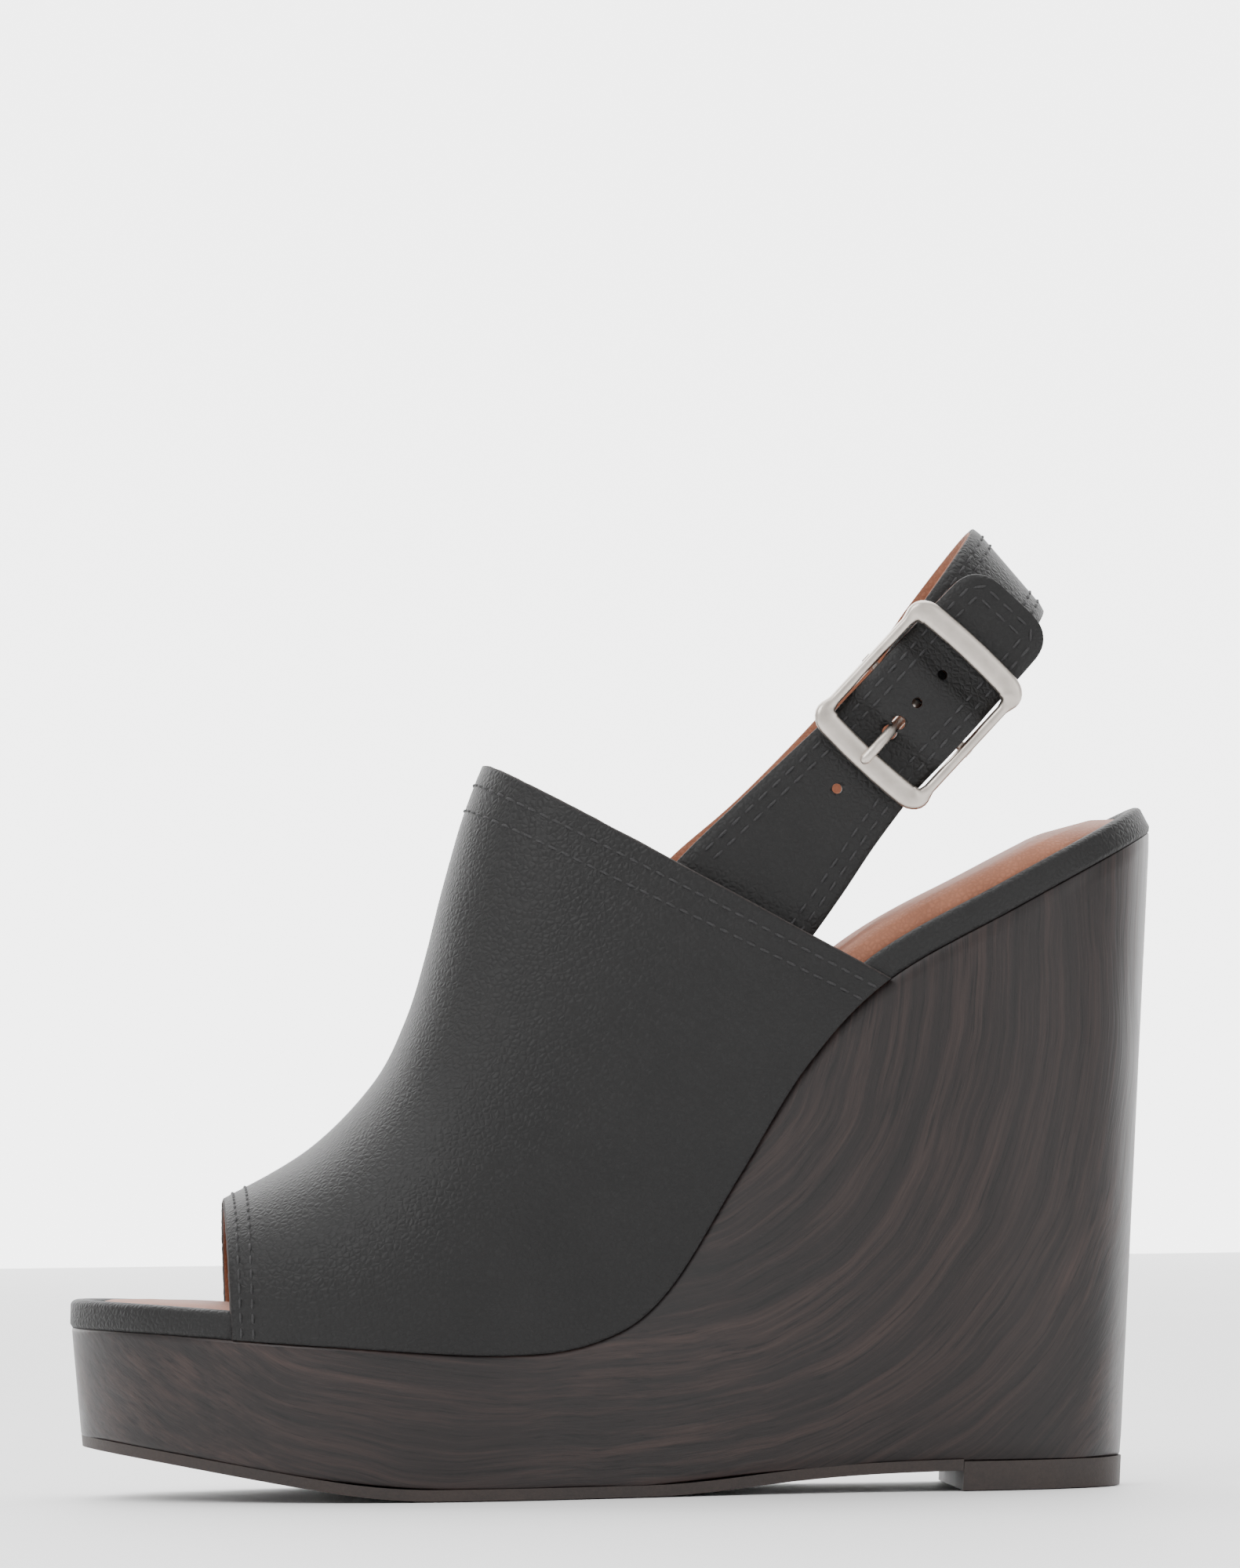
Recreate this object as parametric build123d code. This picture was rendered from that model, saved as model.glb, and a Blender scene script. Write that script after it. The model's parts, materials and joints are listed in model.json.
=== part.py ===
from build123d import *
import math
import os

# Left wedge sandal, millimetres. Toe at -X, heel at +X, outer (buckle) side at -Y, floor at Z = 0.

# ---- sole unit ----
PLAN_TOP = 140.0            # height at which the flared plan outline is drawn a second time
SIDE_FLARE = 6.1            # outward lean of the side walls over PLAN_TOP
HEEL_FLARE = 2.5            # extra lean at the back of the heel
TOE_FLARE = 5.0             # extra lean at the toe
OUTSOLE_THICK = 2.2
LIFT_THICK = 5.6
LIFT_FRONT = 65.0
HALF_SPAN = 60.0            # half width of the side-view cutting bodies

# Plan outline on the floor, clockwise from the back of the heel.
PLAN = [
    (98.5, 0), (92.0, -16.8), (74.5, -24.5), (45, -25.7), (20, -29.2), (-2, -35.6), (-24, -40.9),
    (-48, -40.6), (-71, -33.6), (-90, -20.5), (-101, -6), (-103.6, 6), (-99, 18.2), (-85, 29.8),
    (-62, 38.6), (-38, 41.3), (-15, 38.6), (8, 31.2), (30, 26.7), (52, 25.0), (74.5, 24.5),
    (92.0, 16.8),
]
OUTER_SIDE = range(1, 11)
INNER_SIDE = range(21, 11, -1)

# Side view of the seam between wedge and insole, (x, z), toe to heel.
SEAM = [
    (-136, 34.0), (-114, 33.4), (-92, 32.4), (-60, 30.0), (-24, 27.7), (-5, 30.2), (8, 39.2),
    (22.5, 61.5), (36, 82.6), (52.2, 99.0), (77.5, 112.9), (106, 127.8), (116, 133.0), (136, 143.4),
]

# ---- insole pack, heights above the seam ----
BOARD_THICK = 2.4
FOAM_TOP = 4.8
PAD_RISE = 3.4
PAD_SLACK = 0.1             # clearance kept between foam and sock ahead of the heel pad
SOCK_THICK = 1.2
RAND_HEIGHT = 5.6
RAND_WIDTH = 2.4
PACK_INSET = 3.3
HEAD_SUNK = 0.2             # screw and rivet heads stay this far under the board's face
PAD_INSET = 5.0
SHANK = (6.0, 84.0, 14.0, 1.2)      # front x, rear x, width, thickness

# ---- upper ----
LEATHER = 1.3
LINING = 0.95
ROOT_LEATHER = 1.8
PROUD = 0.3
SIDE_WALL = 6.0             # straight height of the vamp wall above the seam
OVERRUN = 2.0               # length of wall carried past each opening before it is trimmed
SKIRT = 4.0                 # wall carried below the seam before it is trimmed to it
# Vamp stations, toe opening to throat: seam point, ridge point, roundness, outward bulge.
VAMP = [
    ((-75.5, 31.0), (-76.4, 58.0), 2.3, 0.0),
    ((-55.0, 29.8), (-59.4, 67.6), 2.2, 0.0),
    ((-34.0, 28.4), (-47.0, 80.0), 2.15, 0.0),
    ((-16.0, 27.9), (-40.6, 92.0), 2.15, 0.0),
    ((-1.0, 32.0), (-36.2, 105.5), 2.2, 0.0),
    ((12.5, 44.8), (-32.8, 118.5), 2.3, 0.2),
    ((23.0, 62.3), (-29.6, 129.5), 2.4, 0.5),
    ((38.0, 85.0), (-26.7, 137.2), 2.5, 0.8),
    ((52.2, 99.0), (-24.6, 142.0), 2.6, 1.0),
]

# ---- sling ----
BUCKLE_X = 58.7
BUCKLE_Z = 152.1
BAR_Y = -24.4               # axis of the buckle's centre bar
STRAP_ANGLE = 46.5          # slope of the front strap in side view, degrees
SWING = (25.4, 115.5)       # where the straps bend as they leave the vamp, (x, z)
SWING_RADIUS = 14.6
SWING_GAP = 0.8
LOOP_ANGLE = 40.0           # slope of the heel loop's plane
LOOP_BACK = (72.1, 187.5)   # top rear corner of the loop, (x, z)
LOOP_OUTER = -22.5          # outer face of the loop on the buckle side
LOOP_INNER_SIDE = 24.9      # outer face of the loop on the other side
STRAP_LEATHER = 1.3
STRAP_LINING = 0.7
BILLET_LOW = -1.2           # inner face of the front strap, measured out from the bar's axis
BILLET_CREST = 2.4          # the same face where the strap rides over the bar
BILLET_TIP = 28.2
HOLE_PITCH = 7.5
HOLE_RADIUS = 1.0
TONGUE_SLOT = (-9.2, -2.8, 2.8)     # front end, rear end, width

# ---- buckle ----
FRAME_HALF_LENGTH = 16.5
FRAME_HALF_WIDTH = 13.8
WINDOW_HALF_LENGTH = 12.0
WINDOW_HALF_WIDTH = 11.5
RAIL = (-1.0, 3.6)          # lowest and highest face of the side rails
END_BAR = (1.7, 4.1)        # lowest and highest face of the end bars
BAR_RADIUS = 1.0
EYE_RADIUS = 2.25
TONGUE_WIDTH = 2.1
TONGUE_HALF_THICK = 0.85


def line_normal(points, i):
    """Unit normal to the left of a point list at point i, from its neighbours."""
    before = points[i - 1]
    after = points[(i + 1) % len(points)]
    dx = after[0] - before[0]
    dy = after[1] - before[1]
    size = math.hypot(dx, dy)
    return -dy / size, dx / size


def plan_points(height, inset):
    """The plan outline at a height, moved inward by inset."""
    moved = []
    for i, (x, y) in enumerate(PLAN):
        nx, ny = line_normal(PLAN, i)
        flare = SIDE_FLARE + HEEL_FLARE * max(0, nx) + TOE_FLARE * max(0, -nx)
        reach = flare * height / PLAN_TOP - inset
        moved.append((x + nx * reach, y + ny * reach, height))
    return moved


def plan_body(inset=0.0):
    """Column with the flared plan outline from the floor to PLAN_TOP."""
    faces = []
    for height in (-2.0, PLAN_TOP):
        edge = Spline(*plan_points(height, inset), periodic=True)
        faces.append(Face(Wire([edge])))
    return Solid.make_loft([f.outer_wire() for f in faces], ruled=True)


def edge_width(x, z, side):
    """Distance of the plan outline from the middle plane at x, on one side."""
    points = plan_points(z, 0.0)
    chain = [points[i] for i in side]
    for k in range(1, len(chain) - 2):
        p0, p1, p2, p3 = chain[k - 1:k + 3]
        if p2[0] <= x <= p1[0]:
            u = (x - p1[0]) / (p2[0] - p1[0])
            m1 = (p2[1] - p0[1]) / (p2[0] - p0[0]) * (p2[0] - p1[0])
            m2 = (p3[1] - p1[1]) / (p3[0] - p1[0]) * (p2[0] - p1[0])
            y = (2 * u**3 - 3 * u**2 + 1) * p1[1] + (u**3 - 2 * u**2 + u) * m1
            y += (3 * u**2 - 2 * u**3) * p2[1] + (u**3 - u**2) * m2
            return abs(y)
    raise ValueError(f"x = {x} is outside the outline")


def side_point(x, z):
    return Vector(x, 0, z)


def side_body(edges):
    """Side-view face carried across the full width."""
    return extrude(Face(Wire(edges)), amount=HALF_SPAN, dir=(0, 1, 0), both=True)


def polygon_body(points):
    """Side-view polygon carried across the full width."""
    corners = [side_point(x, z) for x, z in points]
    return side_body(Polyline(*corners, close=True).edges())


def raised_seam(height_at):
    """The seam line lifted square to itself by a height that may vary along it."""
    points = []
    for i in range(1, len(SEAM) - 1):
        nx, nz = line_normal(SEAM, i)
        lift = height_at(SEAM[i][0])
        points.append(side_point(SEAM[i][0] + nx * lift, SEAM[i][1] + nz * lift))
    return Spline(*points)


def band(low, high):
    """Full-width layer between two raised seam lines."""
    bottom = raised_seam(low)
    top = raised_seam(high)
    front = Line(bottom @ 0, top @ 0)
    rear = Line(bottom @ 1, top @ 1)
    return side_body([bottom, rear, top, front])


def layer(low, high, inset):
    """A layer of the insole pack, trimmed to the plan outline."""
    return band(lambda x: low, lambda x: high) & plan_body(inset)


def seam_plane(x):
    """Plane lying on the seam at x: its x runs to the heel, its z square to the sole."""
    line = raised_seam(lambda x: 0.0)
    low, high = 0.0, 1.0
    for _ in range(40):
        middle = (low + high) / 2
        if (line @ middle).X < x:
            low = middle
        else:
            high = middle
    tangent = line % low
    return Plane(line @ low, x_dir=tangent, z_dir=tangent.cross(Vector(0, 1, 0)))


def below_seam():
    """Everything under the seam, down to below the floor."""
    seam = raised_seam(lambda x: 0.0)
    front = side_point((seam @ 0).X, -5)
    rear = side_point((seam @ 1).X, -5)
    return side_body([seam, Line(seam @ 1, rear), Line(rear, front), Line(front, seam @ 0)])


def sole_line(lift):
    """Underside of the outsole in side view: toe spring, flat tread, rise to the waist."""
    toe = Spline(
        side_point(-112, 11.2 + lift), side_point(-90, 7.6 + lift),
        side_point(-62, 2.6 + lift), side_point(-36, lift),
        tangents=[(1, 0, -0.16), (1, 0, 0)],
    )
    tread = Line(side_point(-36, lift), side_point(4, lift))
    waist = Spline(
        side_point(4, lift), side_point(32, 2.2 + lift), side_point(120, 3.4 + lift),
        tangents=[(1, 0, 0), (1, 0, 0)],
    )
    return [toe, tread, waist]


def under_line(lift):
    """Everything below the sole line raised by lift."""
    edges = sole_line(lift)
    start = edges[0] @ 0
    end = edges[-1] @ 1
    low_start = side_point(start.X, -8)
    low_end = side_point(end.X, -8)
    return side_body(edges + [Line(end, low_end), Line(low_end, low_start), Line(low_start, start)])


def lift_block():
    """Space taken by the top-lift under the heel."""
    return polygon_body([
        (LIFT_FRONT, -8), (LIFT_FRONT + 0.8, LIFT_THICK), (120, LIFT_THICK), (120, -8),
    ])


def make_sole():
    """Wedge, outsole and top-lift, flush with one another at the sides."""
    column = plan_body()
    body = (column & below_seam()) - under_line(OUTSOLE_THICK) - lift_block()
    above_floor = Pos(0, 0, 100) * Box(400, 200, 200)
    outsole = (column & under_line(OUTSOLE_THICK)) - under_line(0.0) - lift_block()
    ahead = polygon_body([(-130, -8), (LIFT_FRONT, -8), (LIFT_FRONT + 2, 30), (-130, 30)])
    outsole = outsole & ahead & above_floor
    top_lift = column & lift_block() & above_floor
    return body, outsole, top_lift


def nails():
    """Four cut nails driven up through the top-lift."""
    group = []
    for x, half in ((73, 14), (90, 10)):
        for y in (-half, half):
            shank = Pos(x, y, 0.9) * Cylinder(1.1, 19, align=(Align.CENTER, Align.CENTER, Align.MIN))
            head = Pos(x, y, 0.6) * Cylinder(2.3, 1.0, align=(Align.CENTER, Align.CENTER, Align.MIN))
            group.append(shank + head)
    return group


def recess(x, y):
    """Mouth of a nail hole in the top-lift."""
    return Pos(x, y, -1) * Cylinder(2.3, 1.6, align=(Align.CENTER, Align.CENTER, Align.MIN))


def seam_cylinder(x, y, low, high, radius):
    """Cylinder square to the sole, between two heights above the seam."""
    spot = seam_plane(x)
    rod = Cylinder(radius, high - low, align=(Align.CENTER, Align.CENTER, Align.MIN))
    return spot.location * Pos(0, y, low) * rod


def screws():
    """Three wood screws from the insole board down into the wedge."""
    group = []
    for x, y in ((62, 0), (88, -9), (88, 9)):
        head = seam_cylinder(x, y, BOARD_THICK - 1.2, BOARD_THICK - HEAD_SUNK, 3.6)
        shank = seam_cylinder(x, y, -17.0, BOARD_THICK - 1.0, 1.9)
        group.append(head + shank)
    return group


def rivets():
    """Two tubular rivets that hold the shank to the board."""
    group = []
    for x in (18, 74):
        stem = seam_cylinder(x, 0, 0.1, BOARD_THICK - 0.4, 1.5)
        head = seam_cylinder(x, 0, BOARD_THICK - 0.8, BOARD_THICK - HEAD_SUNK, 2.6)
        group.append(stem + head)
    return group


def make_shank():
    """Spring steel shank let into the underside of the insole board."""
    front, rear, width, thick = SHANK
    slab = band(lambda x: 0.0, lambda x: thick)
    return slab & Pos((front + rear) / 2, 0, 80) * Box(rear - front, width, 200)


def pad_top(x):
    """Height of the cushioning above the seam: thin at the ball, full at the heel."""
    u = min(1.0, max(0.0, (x + 5) / 45))
    return FOAM_TOP + PAD_SLACK + PAD_RISE * u * u * (3 - 2 * u)


def make_pads():
    """Footbed foam, heel pad and the sock that covers both."""
    foam = layer(BOARD_THICK, FOAM_TOP, PACK_INSET)
    heel_pad = band(lambda x: FOAM_TOP, pad_top) & plan_body(PAD_INSET)
    heel_pad = heel_pad & polygon_body([(18, 0), (18, 200), (120, 200), (120, 0)])
    sock = band(pad_top, lambda x: pad_top(x) + SOCK_THICK) & plan_body(PACK_INSET)
    return foam, heel_pad, sock


def topline_points(shift):
    """Two points far along the topline cut, moved back by shift."""
    (bx, bz), (tx, tz) = VAMP[-1][0], VAMP[-1][1]
    size = math.hypot(tx - bx, tz - bz)
    ux, uz = (tx - bx) / size, (tz - bz) / size
    nx, nz = uz, -ux
    low = (bx - 80 * ux + nx * shift, bz - 80 * uz + nz * shift)
    high = (tx + 80 * ux + nx * shift, tz + 80 * uz + nz * shift)
    return low, high


def make_rands():
    """Leather binding round the insole's edge, at the toe and round the heel."""
    ring = layer(0.0, RAND_HEIGHT, 0.0) - plan_body(RAND_WIDTH)
    front_x = VAMP[0][0][0] - 0.7
    toe = ring & polygon_body([(-130, 0), (front_x, 0), (front_x, 80), (-130, 80)])
    low, high = topline_points(0.4)
    behind = polygon_body([low, high, (high[0] + 300, high[1] + 60), (low[0] + 60, low[1] - 40)])
    return toe, ring & behind


def vamp_section(station, depth):
    """Arched cross-section of the upper, its surface moved inward by depth."""
    (bx, bz), (tx, tz), power, bulge = station
    height = math.hypot(tx - bx, tz - bz)
    ux, uz = (tx - bx) / height, (tz - bz) / height
    outer = edge_width(bx, bz, OUTER_SIDE) + PROUD + bulge - depth
    inner = edge_width(bx, bz, INNER_SIDE) + PROUD + bulge - depth
    rise = height - SIDE_WALL - depth

    def place(across, up):
        return Vector(bx + ux * up, across, bz + uz * up)

    arch = []
    steps = 14
    for k in range(steps + 1):
        angle = math.pi * k / steps
        width = outer if math.cos(angle) > 0 else inner
        across = -math.copysign(width * abs(math.cos(angle)) ** (2 / power), math.cos(angle))
        arch.append(place(across, SIDE_WALL + rise * math.sin(angle) ** (2 / power)))
    foot_out = place(-outer, -SKIRT)
    foot_in = place(inner, -SKIRT)
    wire = Wire([
        Line(foot_out, arch[0]),
        Spline(*arch, tangents=[(ux, 0, uz), (-ux, 0, -uz)]),
        Line(arch[-1], foot_in),
        Line(foot_in, foot_out),
    ])
    return wire


def longer(station, reach):
    """A station pushed outward past the end of the upper."""
    (bx, bz), (tx, tz), power, bulge = station
    size = math.hypot(tx - bx, tz - bz)
    nx, nz = (tz - bz) / size * reach, -(tx - bx) / size * reach
    return (bx + nx, bz + nz), (tx + nx, tz + nz), power, bulge


def vamp_body(depth):
    """Solid under the upper's surface, moved inward by depth and carried past both openings."""
    reach = OVERRUN + depth
    stations = [longer(VAMP[0], -reach)] + VAMP + [longer(VAMP[-1], reach)]
    return Solid.make_loft([vamp_section(s, depth) for s in stations])


def vamp_span():
    """Space between the toe opening and the topline, above the seam."""
    toe_low, toe_high = VAMP[0][0], VAMP[0][1]
    low, high = topline_points(0.0)
    lean = (toe_high[0] - toe_low[0]) / (toe_high[1] - toe_low[1])
    top = 220.0
    corners = [
        (toe_low[0] - lean * toe_low[1], 0), (toe_low[0] + lean * (top - toe_low[1]), top),
        high, low, (low[0], 0),
    ]
    return polygon_body(corners) - below_seam()


def side_plane():
    """Side-view plane at the bar: x along the front strap, y across it, z outward."""
    angle = math.radians(STRAP_ANGLE)
    along = Vector(math.cos(angle), 0, math.sin(angle))
    return Plane((BUCKLE_X, BAR_Y, BUCKLE_Z), x_dir=along, z_dir=(0, -1, 0))


def edge_plane():
    """Plane seen along the bar: x along the front strap, y outward, z down across it."""
    angle = math.radians(STRAP_ANGLE)
    along = Vector(math.cos(angle), 0, math.sin(angle))
    across = Vector(-math.sin(angle), 0, math.cos(angle))
    return Plane((BUCKLE_X, BAR_Y, BUCKLE_Z), x_dir=along, z_dir=across * -1)


def swing_local():
    """The bending point in the front strap's own side-view coordinates."""
    spot = side_plane().to_local_coords(Vector(SWING[0], BAR_Y, SWING[1]))
    return spot.X, spot.Y


def billet_outline():
    """Front strap seen from the side: round end, taper, parallel run, blunt tip."""
    sx, sy = swing_local()
    r = SWING_RADIUS
    corners = [
        (sx, sy + r), (-13.5, 11.0), (20.6, 10.65), (25.8, 9.6), (BILLET_TIP, 6.4),
        (BILLET_TIP, -6.4), (25.8, -9.6), (20.6, -10.65), (-13.5, -11.0), (sx, sy - r),
    ]
    return make_face(Polyline(*corners, close=True)) + Pos(sx, sy) * Circle(r)


def billet_profile(low, high):
    """Edge-on shape of the front strap: it rides over the bar and under both end bars."""
    rise = BILLET_CREST - BILLET_LOW
    front = swing_local()[0] - SWING_RADIUS - 1
    top = [
        (front, high), (-10.5, high), (-3, high + rise), (3, high + rise), (10.5, high),
        (BILLET_TIP + 1, high),
    ]
    bottom = [(s, h - high + low) for s, h in reversed(top)]
    return make_face(Polyline(*(top + bottom), close=True))


def make_billet():
    """Front strap and its lining, punched for the tongue."""
    side = side_plane()
    outline = extrude(side * billet_outline(), amount=20, both=True)
    holes = [side * Pos(s, 0.5) * Circle(HOLE_RADIUS) for s in (-3 * HOLE_PITCH, -2 * HOLE_PITCH)]
    holes += [side * Pos(s, 0.5) * Circle(HOLE_RADIUS) for s in (0, HOLE_PITCH)]
    front, rear, width = TONGUE_SLOT
    slot = Pos((front + rear) / 2, 0.5) * SlotOverall(rear - front, width)
    cutters = [extrude(shape, amount=20, both=True) for shape in holes + [side * slot]]
    pieces = []
    split = BILLET_LOW + STRAP_LINING
    for low, high in ((split, split + STRAP_LEATHER), (BILLET_LOW, split)):
        strip = extrude(edge_plane() * billet_profile(low, high), amount=25, both=True)
        strip = strip & outline
        for cutter in cutters:
            strip = strip - cutter
        pieces.append(strip)
    return pieces


def sling_outline():
    """Side view of the strap that runs from the inner side round the heel."""
    upper = Spline(
        side_point(15.0, 126.0), side_point(33, 142.0), side_point(50.8, 159.6),
        side_point(72.1, 187.5), side_point(84, 203.5),
    )
    lower = Spline(
        side_point(35.9, 105.3), side_point(50.5, 124.3), side_point(66.6, 144.6),
        side_point(85.7, 171.3), side_point(97.5, 187.5),
    )
    strap = side_body([upper, Line(upper @ 1, lower @ 1), lower, Line(lower @ 0, upper @ 0)])
    disc = Pos(SWING[0], 0, SWING[1]) * Rot(90, 0, 0) * Cylinder(SWING_RADIUS, 2 * HALF_SPAN)
    return strap + disc


def loop_shell(depth, thick):
    """U-shaped band round the heel, thick measured inward from depth below its outer face."""
    angle = math.radians(LOOP_ANGLE)
    radius = (LOOP_INNER_SIDE - LOOP_OUTER) / 2
    middle = (LOOP_INNER_SIDE + LOOP_OUTER) / 2
    along = Vector(math.cos(angle), 0, math.sin(angle))
    rear = Vector(LOOP_BACK[0], middle, LOOP_BACK[1])
    plane = Plane(rear - along * radius, x_dir=along, z_dir=Vector(0, 1, 0).cross(along) * -1)
    leg = 90.0

    def u_face(inset):
        r = radius - inset
        return Pos(-leg / 2, 0) * Rectangle(leg, 2 * r) + Circle(r)

    return extrude(plane * (u_face(depth) - u_face(depth + thick)), amount=60, both=True)


def eye_profile():
    """Edge-on shape of the heel strap's end, folded round the bar."""
    skin = BAR_Y - LOOP_OUTER
    shape = Circle(EYE_RADIUS) + make_face(Polyline(
        (0, -EYE_RADIUS), (4, -2.6), (9, skin - STRAP_LEATHER), (13, skin - STRAP_LEATHER),
        (13, skin), (9, skin), (4.2, -0.6), (1.5, 1.6), (0, 0), close=True,
    ))
    return shape - Circle(BAR_RADIUS + 0.15)


def make_sling():
    """Heel strap and lining: one band from the inner side to the eye on the buckle bar."""
    outline = sling_outline()
    side = side_plane()
    behind_eye = extrude(side * Pos(10 + 60, 0) * Rectangle(120, 120), amount=40, both=True)
    past_eye = extrude(side * Pos(13 + 60, 0) * Rectangle(120, 120), amount=40, both=True)
    middle = (LOOP_INNER_SIDE + LOOP_OUTER) / 2
    inner_half = Pos(50, middle + 100, 150) * Box(300, 200, 300)
    outer_half = Pos(50, middle - 100, 150) * Box(300, 200, 300)
    skin = loop_shell(0.0, STRAP_LEATHER) & outline
    lining = loop_shell(STRAP_LEATHER, STRAP_LINING) & outline
    eye = extrude(edge_plane() * eye_profile(), amount=20, both=True) & outline
    fork = extrude(side * Pos(-0.5, 0.5) * Rectangle(9, 3.2), amount=8, both=True)
    heel_strap = (skin & inner_half) + (skin & outer_half & past_eye) + (eye - fork)
    heel_lining = (lining & inner_half) + (lining & outer_half & behind_eye)
    return heel_strap, heel_lining


def make_roots(inside, deeper):
    """Strap ends sewn inside the vamp, cut round so that the straps can bend clear of them."""
    skin = inside - deeper
    x, z = SWING
    angle = math.radians(STRAP_ANGLE)
    ux, uz = math.cos(angle), math.sin(angle)

    def spot(s, t):
        return x + s * ux - t * uz, z + s * uz + t * ux

    half = SWING_RADIUS - 0.4
    strip = polygon_body([spot(2, half), spot(-36, half - 1), spot(-36, -half + 1), spot(2, -half)])
    clear = SWING_RADIUS + SWING_GAP
    strip = strip - Pos(x, 0, z) * Rot(90, 0, 0) * Cylinder(clear, 2 * HALF_SPAN)
    roots = skin & strip
    outer = roots & Pos(0, -50, 100) * Box(400, 90, 200)
    inner = roots & Pos(0, 50, 100) * Box(400, 90, 200)
    return outer, inner


def make_frame():
    """Buckle frame: two thin rails and two wider, outward-curved end bars."""
    side = side_plane()
    edge = edge_plane()
    corner = FRAME_HALF_LENGTH - 1.9
    half = FRAME_HALF_WIDTH
    tip = FRAME_HALF_LENGTH
    outer = make_face([
        Line((-corner, half), (corner, half)),
        ThreePointArc((corner, half), (tip, 0), (corner, -half)),
        Line((corner, -half), (-corner, -half)),
        ThreePointArc((-corner, -half), (-tip, 0), (-corner, half)),
    ])
    outer = fillet(outer.vertices(), 3.6)
    window = Rectangle(2 * WINDOW_HALF_LENGTH, 2 * WINDOW_HALF_WIDTH)
    window = fillet(window.vertices(), 1.4)
    ring = outer - window
    rails = ring & (Pos(0, half) * Rectangle(60, 2 * (half - WINDOW_HALF_WIDTH))
                    + Pos(0, -half) * Rectangle(60, 2 * (half - WINDOW_HALF_WIDTH)))
    low, high = RAIL
    frame = extrude(side * Pos(0, 0, low) * rails, amount=high - low)
    low, high = END_BAR
    frame = frame + extrude(side * Pos(0, 0, low) * ring, amount=high - low)
    bosses = extrude(edge * Circle(BAR_RADIUS + 1.0), amount=half, both=True)
    gap = extrude(edge * Circle(BAR_RADIUS + 2.0), amount=WINDOW_HALF_WIDTH, both=True)
    return frame + (bosses - gap) - make_bar()


def make_bar():
    """Centre bar, pressed into the rails."""
    return extrude(edge_plane() * Circle(BAR_RADIUS), amount=FRAME_HALF_WIDTH, both=True)


def make_tongue():
    """Tongue: a ring on the bar and a flat pin that rests on the front end bar."""
    route = [(-1.0, 0.9), (-5.0, 1.0), (-7.6, 2.6), (-11.2, 4.7), (-12.4, 5.05), (-15.0, 5.05)]
    t = TONGUE_HALF_THICK
    top = []
    bottom = []
    for i, (s, h) in enumerate(route):
        before = route[max(0, i - 1)]
        after = route[min(len(route) - 1, i + 1)]
        size = math.hypot(after[0] - before[0], after[1] - before[1])
        nx, ny = (after[1] - before[1]) / size, -(after[0] - before[0]) / size
        top.append((s + nx * t, h + ny * t))
        bottom.append((s - nx * t, h - ny * t))
    pin = make_face(Polyline(*(top + bottom[::-1]), close=True))
    shape = pin + Circle(EYE_RADIUS - 0.15) - Circle(BAR_RADIUS + 0.1)
    body = extrude(edge_plane() * shape, amount=TONGUE_WIDTH / 2, both=True)
    shift = side_plane().y_dir * 0.5
    return Pos(*shift) * body


def save(name, shape):
    """Write one node as a STEP file, from its separate solids."""
    solids = shape if isinstance(shape, list) else [shape]
    found = []
    for item in solids:
        found += item.solids()
    export_step(Compound(children=found) if len(found) > 1 else found[0], f"parts/{name}.step")


def main():
    os.makedirs("parts", exist_ok=True)
    wedge, outsole, top_lift = make_sole()
    nail_group = nails()
    screw_group = screws()
    rivet_group = rivets()
    shank = make_shank()
    board = layer(0.0, BOARD_THICK, PACK_INSET) - shank
    recesses = [recess(nail.center().X, nail.center().Y) for nail in nail_group]
    wedge = wedge.cut(*nail_group, *screw_group)
    top_lift = top_lift.cut(*nail_group, *recesses)
    board = board.cut(*screw_group, *rivet_group)
    shank = shank.cut(*screw_group, *rivet_group)
    foam, heel_pad, sock = make_pads()
    toe_rand, heel_rand = make_rands()

    span = vamp_span()
    surface = vamp_body(0.0)
    seat = vamp_body(LEATHER)
    inside = vamp_body(LEATHER + LINING)
    deeper = vamp_body(LEATHER + LINING + ROOT_LEATHER)
    vamp = (surface & span) - seat
    vamp_lining = (seat - inside) & span
    outer_root, inner_root = make_roots(inside & span, deeper)

    billet, billet_lining = make_billet()
    heel_strap, heel_lining = make_sling()

    nodes = {
        "wedge": wedge,
        "outsole": outsole,
        "top_lift": top_lift,
        "top_lift_nails": nail_group,
        "insole_board": board,
        "steel_shank": shank,
        "shank_rivets": rivet_group,
        "wedge_screws": screw_group,
        "footbed_foam": foam,
        "heel_pad": heel_pad,
        "sock_lining": sock,
        "toe_rand": toe_rand,
        "heel_rand": heel_rand,
        "vamp": vamp,
        "vamp_lining": vamp_lining,
        "outer_strap_root": outer_root,
        "inner_strap_root": inner_root,
        "front_strap": billet,
        "front_strap_lining": billet_lining,
        "heel_strap": heel_strap,
        "heel_strap_lining": heel_lining,
        "buckle_frame": make_frame(),
        "buckle_bar": make_bar(),
        "buckle_tongue": make_tongue(),
    }
    for name, shape in nodes.items():
        save(name, shape)


main()
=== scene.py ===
import functools
import json
import math
import random

import bmesh
import bpy
from mathutils import Matrix, Vector, noise


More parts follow.
